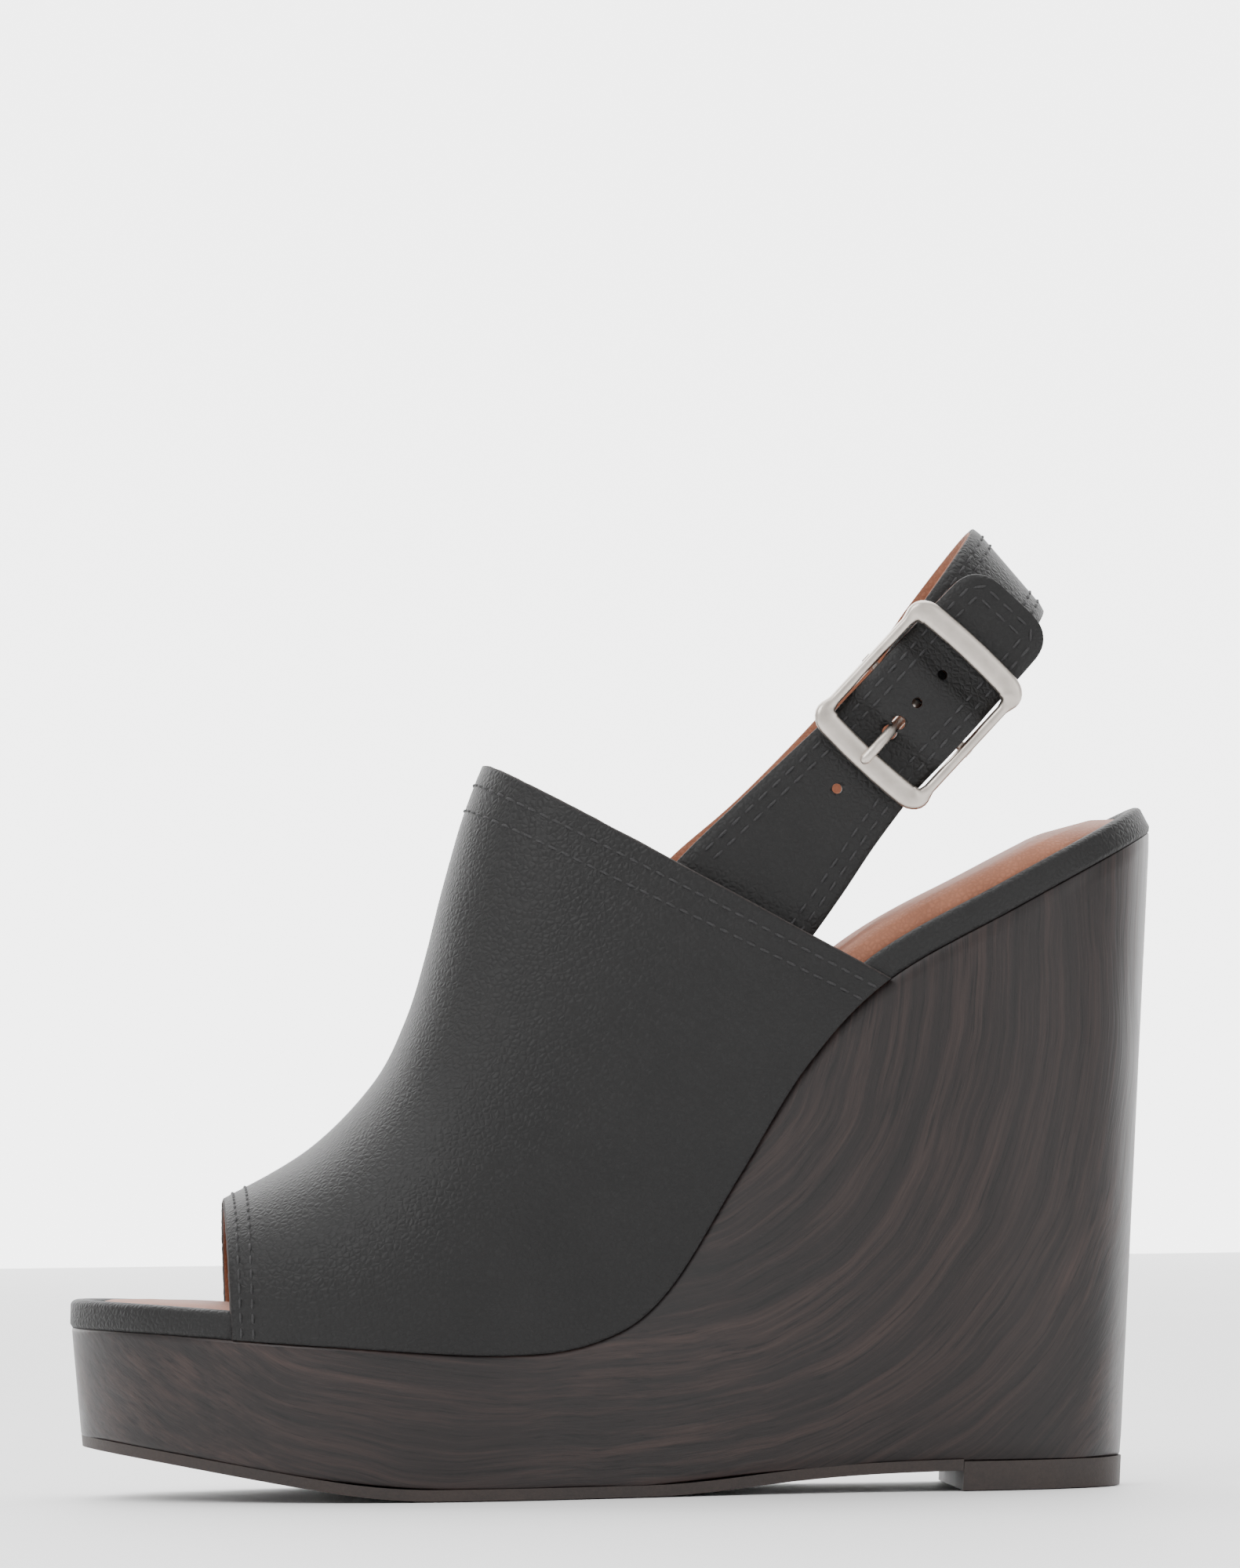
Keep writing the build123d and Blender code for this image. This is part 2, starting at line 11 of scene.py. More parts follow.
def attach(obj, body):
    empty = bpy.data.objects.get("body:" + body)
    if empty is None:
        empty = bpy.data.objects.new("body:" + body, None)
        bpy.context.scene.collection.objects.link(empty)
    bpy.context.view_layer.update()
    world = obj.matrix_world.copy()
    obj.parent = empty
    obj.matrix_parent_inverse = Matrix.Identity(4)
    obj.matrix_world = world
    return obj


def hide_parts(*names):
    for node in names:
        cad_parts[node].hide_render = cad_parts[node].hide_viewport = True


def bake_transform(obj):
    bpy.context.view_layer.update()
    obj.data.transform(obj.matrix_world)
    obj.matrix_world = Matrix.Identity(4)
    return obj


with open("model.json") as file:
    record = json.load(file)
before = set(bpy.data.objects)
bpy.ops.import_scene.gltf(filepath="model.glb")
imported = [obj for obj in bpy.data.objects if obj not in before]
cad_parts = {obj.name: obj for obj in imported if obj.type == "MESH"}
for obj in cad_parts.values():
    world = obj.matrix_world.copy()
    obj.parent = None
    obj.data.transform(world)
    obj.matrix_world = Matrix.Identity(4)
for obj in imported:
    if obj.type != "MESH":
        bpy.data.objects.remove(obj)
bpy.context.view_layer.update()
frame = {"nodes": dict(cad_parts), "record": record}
random.seed(7)

MM = 0.001

# ---------------------------------------------------------------- shape of the shoe, millimetres
PLAN_TOP = 140.0
PLAN = [
    (98.5, 0), (92.0, -16.8), (74.5, -24.5), (45, -25.7), (20, -29.2), (-2, -35.6), (-24, -40.9),
    (-48, -40.6), (-71, -33.6), (-90, -20.5), (-101, -6), (-103.6, 6), (-99, 18.2), (-85, 29.8),
    (-62, 38.6), (-38, 41.3), (-15, 38.6), (8, 31.2), (30, 26.7), (52, 25.0), (74.5, 24.5),
    (92.0, 16.8),
]
SEAM = (
    (-136, 34.0), (-114, 33.4), (-92, 32.4), (-60, 30.0), (-24, 27.7), (-5, 30.2), (8, 39.2),
    (22.5, 61.5), (36, 82.6), (52.2, 99.0), (77.5, 112.9), (106, 127.8), (116, 133.0), (136, 143.4),
)
SOLE = (
    (-130, 14.6), (-112, 11.2), (-90, 7.6), (-62, 2.6), (-36, 0), (-16, 0), (4, 0), (32, 2.2),
    (62, 2.9), (120, 3.4), (140, 3.6),
)
OUTSOLE_THICK = 2.2
LIFT_THICK = 5.6
LIFT_FRONT = 65.6
# toe opening to throat: seam x, ridge point, roundness, bulge
VAMP = [
    (-75.5, (-76.4, 58.0), 2.3, 0.0), (-55.0, (-59.4, 67.6), 2.2, 0.0),
    (-34.0, (-47.0, 80.0), 2.15, 0.0), (-16.0, (-40.6, 92.0), 2.15, 0.0),
    (-1.0, (-36.2, 105.5), 2.2, 0.0), (12.5, (-32.8, 118.5), 2.3, 0.2),
    (23.0, (-29.6, 129.5), 2.4, 0.5), (38.0, (-26.7, 137.2), 2.5, 0.8),
    (52.2, (-24.6, 142.0), 2.6, 1.0),
]
LEATHER = 1.3
LINING = 0.9
SIDE_WALL = 6.0
PROUD = 0.3
RAND_HEIGHT = 5.6
RAND_WIDTH = 2.4
STRAP_PITCH = 3.6
STRAP_STITCH = 2.8
WAVE = 0.35
WAVE_RATE = 0.045
STITCH_INSETS = ((1, 2.3), (2, 4.6))

joints = {j["name"]: j for j in frame["record"]["behaviour"]["joints"]}
SWING = Vector(joints["sling_swing"]["pos_m"]) / MM
BAR = Vector(joints["buckle_rock"]["pos_m"]) / MM
ACROSS = Vector(joints["buckle_rock"]["axis"]).normalized()
ALONG = Vector((ACROSS.z, 0, -ACROSS.x))
OUT = Vector((0, -1, 0))


# ---------------------------------------------------------------- curves
def blend4(p0, p1, p2, p3, u):
    """Catmull-Rom blend of four numbers."""
    a = 2 * p1
    b = (p2 - p0) * u
    c = (2 * p0 - 5 * p1 + 4 * p2 - p3) * u * u
    d = (3 * p1 - p0 - 3 * p2 + p3) * u**3
    return (a + b + c + d) / 2


def smooth(values, t, closed=False):
    """Point at t on a smooth line through a list of numbers or tuples."""
    n = len(values)
    k = int(math.floor(t)) if closed else max(0, min(n - 2, int(math.floor(t))))
    u = t - k

    def pick(i):
        return values[i % n] if closed else values[max(0, min(n - 1, i))]

    four = [pick(k - 1), pick(k), pick(k + 1), pick(k + 2)]
    if isinstance(four[0], (int, float)):
        return blend4(*four, u)
    return tuple(blend4(*(p[i] for p in four), u) for i in range(len(four[0])))


@functools.lru_cache(maxsize=None)
def height_on(line, x):
    """Height of a side-view line at x."""
    for k in range(1, len(line) - 2):
        if x <= line[k + 1][0] or k == len(line) - 3:
            break
    low, high = 0.0, 1.0
    for _ in range(24):
        u = (low + high) / 2
        if blend4(*(line[k + i][0] for i in (-1, 0, 1, 2)), u) < x:
            low = u
        else:
            high = u
    return blend4(*(line[k + i][1] for i in (-1, 0, 1, 2)), low)


def plan_normal(i):
    n = len(PLAN)
    a = PLAN[(i - 1) % n]
    b = PLAN[(i + 1) % n]
    dx, dy = b[0] - a[0], b[1] - a[1]
    size = math.hypot(dx, dy)
    return -dy / size, dx / size


PLAN_NORMALS = [plan_normal(i) for i in range(len(PLAN))]


def plan(t, z, inset=0.0):
    """Point t of the flared plan outline at height z; t counts the outline's points."""
    x, y = smooth(PLAN, t, closed=True)
    nx, ny = smooth(PLAN_NORMALS, t, closed=True)
    size = math.hypot(nx, ny)
    nx, ny = nx / size, ny / size
    flare = 6.1 + 2.5 * max(0, nx) + 5.0 * max(0, -nx)
    reach = flare * z / PLAN_TOP - inset
    return x + nx * reach, y + ny * reach


@functools.lru_cache(maxsize=None)
def on_seam(t, lift=0.0, inset=0.0):
    """Point t of the outline on the seam, raised square to it by lift."""
    z = 60.0
    for _ in range(12):
        x, y = plan(t, z, inset)
        z = height_on(SEAM, x)
    slope = (height_on(SEAM, x + 1) - height_on(SEAM, x - 1)) / 2
    size = math.hypot(1, slope)
    return Vector((x - slope / size * lift, y, z + lift / size))


def find_plan(x, z, low, high):
    """Outline parameter where the outline at height z has a given x."""
    falling = plan(low, z)[0] > plan(high, z)[0]
    for _ in range(30):
        middle = (low + high) / 2
        if (plan(middle, z)[0] > x) == falling:
            low = middle
        else:
            high = middle
    return low


# ---------------------------------------------------------------- mesh tools
def make_object(name, verts, faces, material, smooth_faces=True):
    mesh = bpy.data.meshes.new(name)
    mesh.from_pydata([Vector(v) * MM for v in verts], [], faces)
    mesh.materials.append(material)
    bm = bmesh.new()
    bm.from_mesh(mesh)
    bmesh.ops.remove_doubles(bm, verts=bm.verts, dist=1e-7)
    bmesh.ops.recalc_face_normals(bm, faces=bm.faces)
    for face in bm.faces:
        face.smooth = smooth_faces
    bm.to_mesh(mesh)
    bm.free()
    obj = bpy.data.objects.new(name, mesh)
    bpy.context.scene.collection.objects.link(obj)
    return obj


def skin_rings(rings, closed_ring=True, cap=True):
    """Faces that join rings of equal length; caps close the first and last ring."""
    n = len(rings[0])
    verts = [v for ring in rings for v in ring]
    faces = []
    span = n if closed_ring else n - 1
    for r in range(len(rings) - 1):
        for k in range(span):
            a = r * n + k
            b = r * n + (k + 1) % n
            faces.append((a, b, b + n, a + n))
    if cap:
        faces.append(tuple(range(n)))
        faces.append(tuple(range((len(rings) - 1) * n, len(rings) * n)))
    return verts, faces


def apply_modifiers(obj):
    deps = bpy.context.evaluated_depsgraph_get()
    mesh = bpy.data.meshes.new_from_object(obj.evaluated_get(deps))
    obj.modifiers.clear()
    obj.data = mesh
    return obj


def stitch_row(name, line, material, pitch=2.9, length=2.25, radius=0.27, sink=0.05):
    """Separate thread stitches laid along a line of (point, outward normal) pairs."""
    points = [Vector(p) for p, _ in line]
    marks = [0.0]
    for a, b in zip(points, points[1:]):
        marks.append(marks[-1] + (b - a).length)
    count = max(1, round(marks[-1] / pitch))
    step = marks[-1] / count
    verts, faces = [], []
    k = 0
    for i in range(count):
        target = (i + 0.5) * step
        while k < len(marks) - 2 and marks[k + 1] < target:
            k += 1
        u = (target - marks[k]) / max(1e-6, marks[k + 1] - marks[k])
        centre = points[k].lerp(points[k + 1], u)
        tangent = (points[k + 1] - points[k]).normalized()
        normal = Vector(line[k][1]).lerp(Vector(line[k + 1][1]), u).normalized()
        side = tangent.cross(normal).normalized()
        tangent = (tangent + side * random.uniform(-0.03, 0.03)).normalized()
        base = len(verts)
        rings, around = 7, 8
        for r in range(rings):
            s = -1 + 2 * r / (rings - 1)
            wide = radius * math.sqrt(max(0.04, 1 - abs(s) ** 3))
            dip = -sink - radius * 0.9 * s * s
            for a in range(around):
                angle = 2 * math.pi * a / around
                verts.append(centre + tangent * (s * length / 2)
                             + side * (wide * math.cos(angle))
                             + normal * (dip + radius * 0.6 + wide * 0.8 * math.sin(angle)))
        for r in range(rings - 1):
            for a in range(around):
                b = (a + 1) % around
                faces.append((base + r * around + a, base + r * around + b,
                              base + (r + 1) * around + b, base + (r + 1) * around + a))
        faces.append(tuple(base + a for a in range(around)))
        faces.append(tuple(base + (rings - 1) * around + a for a in range(around)))
    return make_object(name, verts, faces, material)


# ---------------------------------------------------------------- materials
def new_material(name):
    material = bpy.data.materials.new(name)
    material.use_nodes = True
    tree = material.node_tree
    shader = tree.nodes["Principled BSDF"]
    return material, tree, shader


def add(tree, kind, settings=None, **inputs):
    """Add a node; inputs are sockets by name or number, given a value or another socket."""
    node = tree.nodes.new(kind)
    for key, value in (settings or {}).items():
        setattr(node, key, value)
    for key, value in inputs.items():
        socket = node.inputs[int(key[1:])] if key[0] == "i" and key[1:].isdigit() else node.inputs[key]
        if isinstance(value, bpy.types.NodeSocket):
            tree.links.new(value, socket)
        else:
            socket.default_value = value
    return node


def math_node(tree, operation, *values):
    return add(tree, "ShaderNodeMath", {"operation": operation},
               **{f"i{i}": v for i, v in enumerate(values)}).outputs[0]


def ramp(tree, factor, stops):
    node = add(tree, "ShaderNodeValToRGB", i0=factor)
    elements = node.color_ramp.elements
    while len(elements) < len(stops):
        elements.new(0.5)
    for element, (place, colour) in zip(elements, stops):
        element.position = place
        element.color = (*colour, 1)
    return node.outputs[0]


def coords(tree):
    return tree.nodes.new("ShaderNodeTexCoord").outputs["Object"]


def noise_tex(tree, vector, scale, detail=4.0, rough=0.55):
    return add(tree, "ShaderNodeTexNoise", Vector=vector, Scale=scale, Detail=detail,
               Roughness=rough).outputs["Fac"]


def bump(tree, shader, *layers):
    """Stack bump layers of (height, strength, distance) on the shader."""
    normal = None
    for height, strength, distance in layers:
        node = add(tree, "ShaderNodeBump", Height=height, Strength=strength, Distance=distance)
        if normal:
            tree.links.new(normal, node.inputs["Normal"])
        normal = node.outputs[0]
    tree.links.new(normal, shader.inputs["Normal"])


def leather(name, dark, light, rough, grain_size, grain_depth):
    """Leather with a fine cell grain, pores, soft creases and worn colour variation."""
    material, tree, shader = new_material(name)
    place = coords(tree)
    wobble = add(tree, "ShaderNodeTexNoise", Vector=place, Scale=900.0, Detail=2.0)
    warped = add(tree, "ShaderNodeVectorMath", {"operation": "MULTIPLY_ADD"},
                 i0=wobble.outputs["Color"], i1=(0.0006, 0.0006, 0.0006), i2=place).outputs[0]
    cells = add(tree, "ShaderNodeTexVoronoi", {"feature": "DISTANCE_TO_EDGE"},
                Vector=warped, Scale=grain_size).outputs["Distance"]
    cells = math_node(tree, "MINIMUM", math_node(tree, "MULTIPLY", cells, 3.0), 1.0)
    creases = noise_tex(tree, place, 60.0, 5.0, 0.6)
    patches = noise_tex(tree, place, 22.0, 3.0)
    fine = noise_tex(tree, place, 1500.0, 3.0, 0.7)
    mix = math_node(tree, "MULTIPLY_ADD", creases, 0.5, math_node(tree, "MULTIPLY", patches, 0.5))
    colour = ramp(tree, mix, [(0.32, dark), (0.68, light)])
    shade = add(tree, "ShaderNodeMix", {"data_type": "RGBA", "blend_type": "MULTIPLY"},
                i0=math_node(tree, "MULTIPLY", math_node(tree, "SUBTRACT", 1.0, cells), 0.35))
    tree.links.new(colour, shade.inputs[6])
    shade.inputs[7].default_value = (0.45, 0.42, 0.4, 1)
    tree.links.new(shade.outputs[2], shader.inputs["Base Color"])
    level = math_node(tree, "MULTIPLY_ADD", patches, 0.22, rough - 0.11)
    level = math_node(tree, "MULTIPLY_ADD", fine, 0.10, level)
    tree.links.new(level, shader.inputs["Roughness"])
    shader.inputs["Specular IOR Level"].default_value = 0.34
    bump(tree, shader, (cells, 0.55, grain_depth), (fine, 0.25, grain_depth),
         (creases, 0.30, 0.0005))
    return material


def wood():
    """Dark stained veneer: figure in rings round the arch, fine pores along them, satin lacquer."""
    material, tree, shader = new_material("dark_grain_wood")
    place = coords(tree)
    warp = add(tree, "ShaderNodeTexNoise", Vector=place, Scale=26.0, Detail=2.0)
    spot = add(tree, "ShaderNodeVectorMath", {"operation": "MULTIPLY_ADD"},
               i0=warp.outputs["Color"], i1=(0.007, 0.007, 0.007), i2=place).outputs[0]
    split = add(tree, "ShaderNodeSeparateXYZ", Vector=spot)
    x = math_node(tree, "ADD", split.outputs[0], 0.012)
    z = math_node(tree, "SUBTRACT", split.outputs[2], 0.112)
    x_far = math_node(tree, "POWER", math_node(tree, "ABSOLUTE", x), 2.6)
    z_far = math_node(tree, "POWER", math_node(tree, "ABSOLUTE", z), 2.6)
    radius = math_node(tree, "POWER", math_node(tree, "ADD", x_far, z_far), 1 / 2.6)
    angle = math_node(tree, "ARCTAN2", z, x)
    around = math_node(tree, "MULTIPLY", angle, 0.09)
    flow = add(tree, "ShaderNodeCombineXYZ", X=radius, Y=around, Z=split.outputs[1])
    streaks = add(tree, "ShaderNodeMapping", Vector=flow.outputs[0], Scale=(1500, 36, 400))
    fine = noise_tex(tree, streaks.outputs[0], 1.0, 4.0, 0.65)
    mid_map = add(tree, "ShaderNodeMapping", Vector=flow.outputs[0], Scale=(420, 11, 150))
    middle = noise_tex(tree, mid_map.outputs[0], 1.0, 3.0, 0.55)
    band_map = add(tree, "ShaderNodeMapping", Vector=flow.outputs[0], Scale=(110, 5, 50))
    bands = noise_tex(tree, band_map.outputs[0], 1.0, 2.0)
    mix = math_node(tree, "MULTIPLY_ADD", middle, 0.45, math_node(tree, "MULTIPLY", bands, 0.35))
    mix = math_node(tree, "MULTIPLY_ADD", fine, 0.35, mix)
    colour = ramp(tree, mix, [(0.42, (0.0045, 0.0032, 0.0032)), (0.56, (0.011, 0.0072, 0.0070)),
                              (0.66, (0.024, 0.0145, 0.0130)), (0.80, (0.045, 0.027, 0.023))])
    pores = math_node(tree, "LESS_THAN", fine, 0.38)
    dark = add(tree, "ShaderNodeMix", {"data_type": "RGBA", "blend_type": "MULTIPLY"},
               i0=math_node(tree, "MULTIPLY", pores, 0.6))
    tree.links.new(colour, dark.inputs[6])
    dark.inputs[7].default_value = (0.35, 0.33, 0.33, 1)
    tree.links.new(dark.outputs[2], shader.inputs["Base Color"])
    tree.links.new(math_node(tree, "MULTIPLY_ADD", middle, 0.25, 0.30), shader.inputs["Roughness"])
    shader.inputs["Specular IOR Level"].default_value = 0.35
    shader.inputs["Coat Weight"].default_value = 0.08
    shader.inputs["Coat Roughness"].default_value = 0.3
    bump(tree, shader, (fine, 0.35, 0.00025), (middle, 0.2, 0.0004))
    return material


def rubber():
    """Brown sole rubber with a faint speckle and scuffing."""
    material, tree, shader = new_material("brown_rubber")
    place = coords(tree)
    speckle = noise_tex(tree, place, 1400.0, 3.0, 0.7)
    clouds = noise_tex(tree, place, 70.0, 4.0)
    mix = math_node(tree, "MULTIPLY_ADD", speckle, 0.4, math_node(tree, "MULTIPLY", clouds, 0.6))
    colour = ramp(tree, mix, [(0.35, (0.016, 0.0105, 0.009)), (0.7, (0.034, 0.023, 0.019))])
    tree.links.new(colour, shader.inputs["Base Color"])
    tree.links.new(math_node(tree, "MULTIPLY_ADD", clouds, 0.25, 0.5), shader.inputs["Roughness"])
    bump(tree, shader, (speckle, 0.35, 0.0002), (clouds, 0.2, 0.0004))
    return material


def metal(name, colour, rough):
    """Plated metal with fine brushing, tiny pits and uneven polish."""
    material, tree, shader = new_material(name)
    place = coords(tree)
    brushed = add(tree, "ShaderNodeMapping", Vector=place, Rotation=(0, 0.81, 0),
                  Scale=(150, 1500, 1500))
    lines = noise_tex(tree, brushed.outputs[0], 1.0, 3.0, 0.6)
    clouds = noise_tex(tree, place, 240.0, 4.0)
    tone = ramp(tree, clouds, [(0.3, tuple(c * 0.78 for c in colour)), (0.7, colour)])
    tree.links.new(tone, shader.inputs["Base Color"])
    shader.inputs["Metallic"].default_value = 1.0
    level = math_node(tree, "MULTIPLY_ADD", lines, 0.16, rough)
    level = math_node(tree, "MULTIPLY_ADD", clouds, 0.12, level)
    tree.links.new(level, shader.inputs["Roughness"])
    bump(tree, shader, (lines, 0.12, 0.0001), (clouds, 0.15, 0.0002))
    return material


def fibre(name, dark, light, scale, rough=0.85):
    """Fibrous or open-cell inner material, and thread."""
    material, tree, shader = new_material(name)
    place = coords(tree)
    fibres = noise_tex(tree, place, scale, 5.0, 0.7)
    cells = add(tree, "ShaderNodeTexVoronoi", Vector=place, Scale=scale * 0.8).outputs["Distance"]
    colour = ramp(tree, fibres, [(0.3, dark), (0.7, light)])
    tree.links.new(colour, shader.inputs["Base Color"])
    tree.links.new(math_node(tree, "MULTIPLY_ADD", fibres, 0.15, rough - 0.1),
                   shader.inputs["Roughness"])
    bump(tree, shader, (fibres, 0.4, 0.0002), (cells, 0.3, 0.0003))
    return material


BLACK = leather("black_leather", (0.0042, 0.0040, 0.0041), (0.0088, 0.0084, 0.0084), 0.50,
                850.0, 0.00018)
TAN = leather("tan_leather", (0.205, 0.072, 0.036), (0.37, 0.150, 0.085), 0.55, 1000.0, 0.00010)
EDGE = fibre("raw_leather_edge", (0.010, 0.0085, 0.0085), (0.040, 0.031, 0.028), 1500.0, 0.95)
THREAD = fibre("black_thread", (0.006, 0.006, 0.0065), (0.030, 0.029, 0.030), 2600.0, 0.7)
WOOD = wood()
RUBBER = rubber()
NICKEL = metal("satin_nickel", (0.66, 0.60, 0.54), 0.24)
STEEL = metal("plain_steel", (0.42, 0.42, 0.43), 0.35)
BOARD = fibre("fibre_board", (0.20, 0.13, 0.08), (0.42, 0.30, 0.19), 600.0)
FOAM = fibre("latex_foam", (0.55, 0.50, 0.38), (0.80, 0.75, 0.62), 900.0)


# ---------------------------------------------------------------- wedge
def outline_steps(count):
    return [len(PLAN) * k / count for k in range(count)]


def wedge():
    """Wedge body with softly rounded top and bottom arrises."""
    rings = []
    flat_side = [(k / 30, 0) for k in range(1, 30)]
    profile = [(0, 0.45), (0.004, 0.12)] + flat_side + [(0.996, 0.12), (1, 0.45)]
    for share, inset in profile:
        ring = []
        for t in outline_steps(260):
            top = on_seam(t, 0.0, inset)
            x, y = plan(t, 4.0, inset)
            floor = height_on(SOLE, x) + OUTSOLE_THICK
            if x > LIFT_FRONT:
                floor = LIFT_THICK
            z = floor + (top.z - floor) * share
            px, py = plan(t, z, inset)
            ring.append((px, py, z))
        rings.append(ring)
    verts, faces = skin_rings(rings)
    piece = make_object("wedge_body", verts, faces, WOOD)
    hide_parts("wedge")
    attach(piece, "root")


# ---------------------------------------------------------------- rands
def rand(name, node, start, end, steps=90):
    """Leather binding folded over the insole edge, as a rounded strip along the outline."""
    profile = []
    for k in range(17):
        angle = math.pi * k / 16
        profile.append((RAND_WIDTH / 2 - (RAND_WIDTH / 2 + 0.25) * math.cos(angle),
                        RAND_HEIGHT - 1.1 + 1.1 * math.sin(angle)))
    profile = [(0.15, 0.02)] + [(-0.25, 0.8)] + profile + [(RAND_WIDTH, 0.02)]
    rings = []
    for i in range(steps + 1):
        t = start + (end - start) * i / steps
        ring = []
        for inset, lift in profile:
            bulge = -0.15 * math.sin(math.pi * min(1, max(0, lift / RAND_HEIGHT)))
            ring.append(on_seam(t, lift, inset + (bulge if inset < 1 else 0)))
        rings.append(ring)
    verts, faces = skin_rings(rings)
    piece = make_object(name, verts, faces, BLACK)
    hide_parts(node)
    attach(piece, "root")


# ---------------------------------------------------------------- vamp
def station(f):
    """Seam x, ridge x and z, roundness, bulge, seam z and both half widths at station f."""
    bx = smooth([s[0] for s in VAMP], f)
    tx, tz = smooth([s[1] for s in VAMP], f)
    bz = height_on(SEAM, bx)
    outer = abs(plan(find_plan(bx, bz, 1.2, 10.0), bz)[1])
    inner = abs(plan(find_plan(bx, bz, 13.0, 21.8), bz)[1])
    return (bx, tx, tz, smooth([s[2] for s in VAMP], f), smooth([s[3] for s in VAMP], f), bz,
            outer, inner)


TABLE_STEP = 0.02
TABLE = [station(k * TABLE_STEP) for k in range(int((len(VAMP) - 1) / TABLE_STEP) + 2)]


def vamp_point(f, share, depth):
    """Point of the upper: f counts stations, share runs over the arch from outer to inner side."""
    k = max(0, min(len(TABLE) - 2, int(f / TABLE_STEP)))
    u = f / TABLE_STEP - k
    bx, tx, tz, power, bulge, bz, outer, inner = (
        p + (q - p) * u for p, q in zip(TABLE[k], TABLE[k + 1]))
    height = math.hypot(tx - bx, tz - bz)
    ux, uz = (tx - bx) / height, (tz - bz) / height
    extra = PROUD + bulge - depth
    outer += extra
    inner += extra
    wall = 0.10
    base = Vector((bx, 0, bz))
    rise = Vector((ux, 0, uz))
    if share <= wall:
        return base + rise * (SIDE_WALL * share / wall) + Vector((0, -outer, 0))
    if share >= 1 - wall:
        return base + rise * (SIDE_WALL * (1 - share) / wall) + Vector((0, inner, 0))
    angle = math.pi * (share - wall) / (1 - 2 * wall)
    width = outer if math.cos(angle) > 0 else inner
    across = -math.copysign(width * abs(math.cos(angle)) ** (2 / power), math.cos(angle))
    up = SIDE_WALL + (height - SIDE_WALL - depth) * math.sin(angle) ** (2 / power)
    return Vector((bx + ux * up, across, bz + uz * up))


STATIONS = len(VAMP) - 1


def soft_waves(point, size):
    """Slow unevenness of hand-lasted leather, in millimetres."""
    return size * noise.noise(point * WAVE_RATE + Vector((3, 1, 7)))


def shell_grid(depth, f_steps, s_steps):
    grid = []
    for i in range(f_steps + 1):
        f = STATIONS * i / f_steps
        row = []
        for k in range(s_steps + 1):
            share = k / s_steps
            p = vamp_point(f, share, depth)
            inward = (vamp_point(f, share, depth + 0.5) - p).normalized()
            row.append(p - inward * soft_waves(p, WAVE) * math.sin(math.pi * share))
        grid.append(row)
    return grid


def leather_shell(name, outer_depth, inner_depth, material, edge_material, edge_out):
    """Two skins joined by a slightly rounded cut edge."""
    f_steps, s_steps = 90, 96
    outer = shell_grid(outer_depth, f_steps, s_steps)
    inner = shell_grid(inner_depth, f_steps, s_steps)
    n = s_steps + 1
    verts = [p for row in outer for p in row] + [p for row in inner for p in row]
    half = len(outer) * n
    faces = []
    for i in range(f_steps):
        for k in range(s_steps):
            a = i * n + k
            faces.append((a, a + 1, a + n + 1, a + n))
            faces.append((half + a, half + a + n, half + a + n + 1, half + a + 1))
    edges = []
    for i, sign in ((0, -1), (f_steps, 1)):
        lip = []
        step = 1 if i == 0 else -1
        for k in range(n):
            away = (outer[i][k] - outer[i + step][k]).normalized()
            rough = edge_out * (1 + 0.35 * noise.noise(outer[i][k] * 1.3))
            lip.append(len(verts))
            verts.append((outer[i][k] + inner[i][k]) / 2 + away * rough)
        for k in range(s_steps):
            a = i * n + k
            edges.append((a, a + 1, lip[k + 1], lip[k]))
            edges.append((lip[k], lip[k + 1], half + a + 1, half + a))
    for i in range(f_steps):
        for k in (0, s_steps):
            a = i * n + k
            faces.append((a, a + n, half + a + n, half + a))
    piece = make_object(name, verts, faces + edges, material)
    piece.data.materials.append(edge_material)
    lips = {tuple(round(c, 4) for c in Vector(verts[v]) * MM * 1000) for face in edges for v in face
            if v >= 2 * half}
    for polygon in piece.data.polygons:
        for v in polygon.vertices:
            if tuple(round(c * 1000, 4) for c in piece.data.vertices[v].co) in lips:
                polygon.material_index = 1
                break
    return piece


def surface_line(distance, at_toe, lift=0.0):
    """Line on the vamp at a distance from one of its edges, with outward normals."""
    line = []
    steps = 240
    for k in range(steps + 1):
        share = k / steps
        edge = 0.0 if at_toe else float(STATIONS)
        sign = 1 if at_toe else -1
        probe = vamp_point(edge, share, 0)
        near = vamp_point(edge + sign * 0.2, share, 0)
        f = edge + sign * distance / ((near - probe).length / 0.2)
        p = vamp_point(f, share, 0)
        inward = (vamp_point(f, share, 0.5) - p).normalized()
        p = p - inward * soft_waves(p, WAVE) * math.sin(math.pi * share)
        line.append((p - inward * lift, -inward))
    return line


def vamp():
    outer = leather_shell("vamp_leather", 0.0, LEATHER, BLACK, EDGE, 0.35)
    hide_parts("vamp")
    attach(outer, "root")
    lining = leather_shell("vamp_lining_skin", LEATHER + 0.02, LEATHER + LINING, TAN, EDGE, 0.15)
    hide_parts("vamp_lining")
    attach(lining, "root")
    rows = (("toe_stitch_1", 2.1, True), ("toe_stitch_2", 4.2, True),
            ("topline_stitch_1", 2.8, False), ("topline_stitch_2", 5.2, False))
    for name, distance, at_toe in rows:
        piece = stitch_row(name, surface_line(distance, at_toe), THREAD)
        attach(piece, "root")


# ---------------------------------------------------------------- sock
def pad_top(x):
    u = min(1.0, max(0.0, (x + 5) / 45))
    return 4.9 + 3.4 * u * u * (3 - 2 * u)


